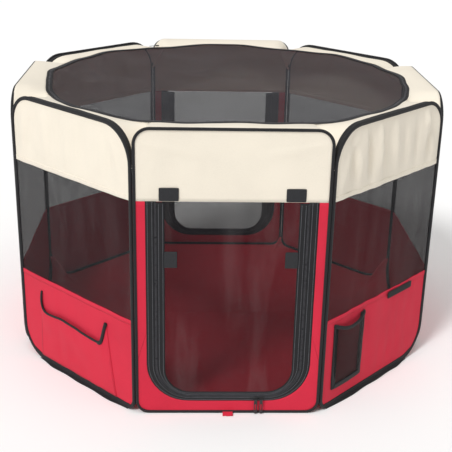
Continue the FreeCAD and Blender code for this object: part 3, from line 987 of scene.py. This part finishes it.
def build_floor_gore(k):
    line = notch_line(k, False)
    rows = 34
    verts, uvs = [], []
    for t in (j / rows for j in range(rows)):
        for p in line:
            q = Vector((p.x * (1 - t), p.y * (1 - t), 0))
            rise = (p.z - RAIL_LOW) * (1 - smooth(t / 0.16))
            world = turned(k) @ q
            crease = sum(0.0016 * exp(-(abs(d) / 0.006)) for d in (world.x - 0.19, world.x + 0.19, world.y))
            soft = 0.0018 * (stray(world.x * 7, world.y * 7, 3) + 0.6)
            q.z = 0.0012 + rise + (crease + max(soft, 0)) * smooth(t / 0.1) + RAIL_LOW * 0.4 * (1 - smooth(t / 0.03))
            verts.append(q)
            uvs.append((world.x, world.y))
    verts.append(Vector((0, 0, 0.0016)))
    uvs.append((0.0, 0.0))
    cols = len(line)
    faces = grid_faces(rows, cols) + [((rows - 1) * cols + c, (rows - 1) * cols + c + 1, rows * cols)
                                      for c in range(cols - 1)]
    side, body = SIDES[k], SIDES[k] + "_panel"
    # The floor's red is painted lighter than the band's, standing in for light inside the pen.
    ob = add_mesh(side + "_floor_cloth", verts, faces, FLOOR_RED_PAINTED_LIGHT, uvs, k)
    gather(finish(ob, body, ["floor"] if k == 0 else ()))
    seam = [p + Vector((0, TUBE * 0.9, 0.0012)) for p in line[1:-1]]
    ob = tube(side + "_floor_seam", seam, 0.0040, TAPE, UP, k, closed=False, around=8, flat=0.8)
    gather(finish(ob, body))


# ---- round lid ----
def flatten_with_top(ob):
    """Pieces of the lid: the piece gets its own copy of its mesh data."""
    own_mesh(ob)


def ring_arc(r, start, end, z, step):
    """Points on the round opening's wandering circle, about step degrees apart."""
    count = max(int(abs(end - start) / radians(step)), 8)
    return [ring_point(r, start + (end - start) * i / count, z) for i in range(count + 1)]


def ring_strip(name, r_in, r_out, start, end, body, replaces=()):
    count = max(int(abs(end - start) / radians(1.5)), 4)

    def point(j, i):
        a, r = start + (end - start) * j / count, r_in + (r_out - r_in) * i / 3
        return ring_point(r, a, 0.0004 * sin(i * pi / 3)), (r, a * LID_R)
    ob = thicken(grid(name, count, 3, point, ZIP_TAPE), LID_THICK)
    flatten_with_top(finish(ob, body, replaces))


def lid_sag(x, y):
    r = hypot(x, y) / LID_R
    a = atan2(y, x)
    pull = 0.0035 * cos(9 * a + 1) * max(r - 0.25, 0) * (1 - r) * 2.6
    return -0.011 * (1 - r * r) + pull + 0.0016 * stray(x * 9, y * 9, 1) * (1 - r)


def lid_net(name, y_from, y_to, body, replaces=()):
    """Netting of the lid between two lines of constant y, out to the rim."""
    rows, cols = max(int((y_to - y_from) / 0.012), 3), 60
    edge = LID_R - 0.006

    def point(j, i):
        y = max(min(y_from + (y_to - y_from) * j / rows, edge - 0.0004), -edge + 0.0004)
        half = sqrt(max(edge ** 2 - y ** 2, 0))
        x = -half + 2 * half * i / cols
        a, r = atan2(y, x), hypot(x, y) / edge
        w = 1 + wander(a) / edge * r
        return (x * w, y * w, TOP_Z - 0.0006 + ring_drop(a) * r ** 4 + lid_sag(x, y)), (x, y)
    ob = grid(name, rows, cols, point, LID_NET_PAINTED_LIGHT)
    flatten_with_top(finish(ob, body, replaces))


def build_lid():
    hinge_a = asin(HINGE_Y / LID_R)
    back, full = pi - hinge_a, 2 * pi
    tape_in, tape_out = LID_R - 0.0066, RING_R + 0.001
    ring_strip("lid_track_tape", LID_R + 0.0014, tape_out, 0, full, "top_cover", ["lid_zip_track"])
    ring_strip("lid_rim_tape", tape_in, LID_R - 0.0008, back, full + hinge_a, "lid", ["lid_rim"])
    ring_strip("lid_back_tape", tape_in, LID_R - 0.0008, hinge_a, back, "top_cover")
    for name, off, start, end, body in (
            ("lid_teeth_fixed", 0.0012, 0, full, "top_cover"),
            ("lid_teeth_moving", -0.0008, back, full + hinge_a, "lid"),
            ("lid_teeth_back", -0.0008, hinge_a, back, "top_cover")):
        line = ring_arc(LID_R + off, start, end, 0.0005, 1.0)
        flatten_with_top(sew(name, line, body, TEETH, 0, UP, 0.0024, (0.0014, 0.0026, 0.0013)))
    for name, r, start, end, body in (
            ("lid_stitches", tape_in + 0.002, back, full + hinge_a, "lid"),
            ("track_stitches", RING_R - 0.002, 0, full, "top_cover")):
        flatten_with_top(sew(name, ring_arc(r, start, end, 0.0007, 1.5), body, THREAD, 0, UP, 0.0046))
    lid_net("lid_net", -LID_R, HINGE_Y, "lid", ["lid_mesh"])
    lid_net("lid_net_back", HINGE_Y, LID_R, "top_cover")
    lo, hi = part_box("lid_slider")
    mid = (lo + hi) / 2
    a = atan2(mid.y, mid.x)
    z = TOP_Z + 0.0004
    boxes = [(-0.0032, 0.0032, -0.0045, 0.0045, z + 0.0004, z + 0.0012),
             (-0.0026, 0.0026, -0.0040, 0.0040, z + 0.0018, z + 0.0028),
             (-0.0010, 0.0010, -0.0035, 0.0035, z, z + 0.0026),
             (-0.0018, 0.0018, 0.0035, 0.0225, z + 0.0012, z + 0.0020)]
    ob = bevelled("lid_slider_body", boxes, 0, 0.0003)
    ob.data.transform(Matrix.Rotation(a, 4, "Z") @ Matrix.Translation((LID_R + 0.0034, -0.008, 0)))
    flatten_with_top(finish(ob, "lid_slider", ["lid_slider"]))


# ---- stage, lights, camera ----
def build_stage():
    """Pale floor, and a world that the camera sees whiter than it lights."""
    me = bpy.data.meshes.new("studio_floor")
    s = 14.0
    me.from_pydata([(-s, -s, 0), (s, -s, 0), (s, s, 0), (-s, s, 0)], [], [(0, 1, 2, 3)])
    white, _, bsdf = new_material("studio_white")
    set_sockets(bsdf, {"Base Color": (0.96, 0.96, 0.96, 1), "Roughness": 0.9, "Specular IOR Level": 0.0})
    me.materials.append(white)
    link("studio_floor", me)
    world = bpy.data.worlds.new("studio")
    bpy.context.scene.world = world
    world.use_nodes = True
    nt = world.node_tree
    seen, lit = nt.nodes["Background"], nt.nodes.new("ShaderNodeBackground")
    set_sockets(seen, {"Color": (1, 1, 1, 1), "Strength": 1.0})
    set_sockets(lit, {"Color": (1, 0.99, 0.97, 1), "Strength": 0.43})
    path, mix = nt.nodes.new("ShaderNodeLightPath"), nt.nodes.new("ShaderNodeMixShader")
    nt.links.new(path.outputs["Is Camera Ray"], mix.inputs[0])
    nt.links.new(lit.outputs[0], mix.inputs[1])
    nt.links.new(seen.outputs[0], mix.inputs[2])
    nt.links.new(mix.outputs[0], nt.nodes["World Output"].inputs[0])


def sun(name, toward, strength, spread):
    """Broad even light from far off, shining along toward."""
    d = bpy.data.lights.new(name, "SUN")
    d.energy, d.angle = strength, radians(spread)
    link(name, d).rotation_euler = Vector(toward).to_track_quat("-Z", "Y").to_euler()


def build_camera():
    """Eye height, distance and tilt worked out for the reference view."""
    yaw, pitch, roll = 0.0389, 0.3715, 0.0219
    forward = Vector((sin(yaw) * cos(pitch), cos(yaw) * cos(pitch), -sin(pitch)))
    right = Vector((cos(yaw), -sin(yaw), 0))
    up = right.cross(forward)
    r2 = right * cos(roll) + up * sin(roll)
    u2 = up * cos(roll) - right * sin(roll)
    m = Matrix((r2, u2, -forward)).transposed().to_4x4()
    m.translation = (-0.0754, -2.0992, 1.0548)
    cam = bpy.data.cameras.new("camera")
    cam.lens, cam.sensor_width = 73.59, 36.0
    ob = link("camera", cam)
    ob.matrix_world = m
    bpy.context.scene.camera = ob


# ---- build ----
for k, side in enumerate(SIDES):
    if side in DOOR_SIDES:
        build_door_panel(k)
    else:
        build_side_panel(k)
    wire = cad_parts[side + "_frame_wire"].data.materials
    wire.clear()
    wire.append(STEEL)
    build_border_sector(k)
    build_floor_gore(k)

for name in ("left", "right"):
    lo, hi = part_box("front_slider_" + name)
    build_slider("front_slider_part_" + name, 0, lo, hi, "front_slider_" + name, "front_pull_" + name,
                 ["front_slider_" + name], ["front_pull_" + name])
lo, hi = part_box("back_slider")
build_slider("back_slider_part", 4, Vector((-hi.x, -hi.y + 0.0007, 0)), Vector((-lo.x, -lo.y, 0)),
             "back_slider", "back_slider", ["back_slider"], ())
build_pocket()
build_net_pocket()
build_hook_strip()
build_lid()

build_stage()
sun("key", (0.70, 0.89, -1.25), 1.8, 14)
sun("overhead", (-0.05, 0.25, -1.0), 0.7, 60)
build_camera()
bpy.context.scene.view_settings.view_transform = "Standard"
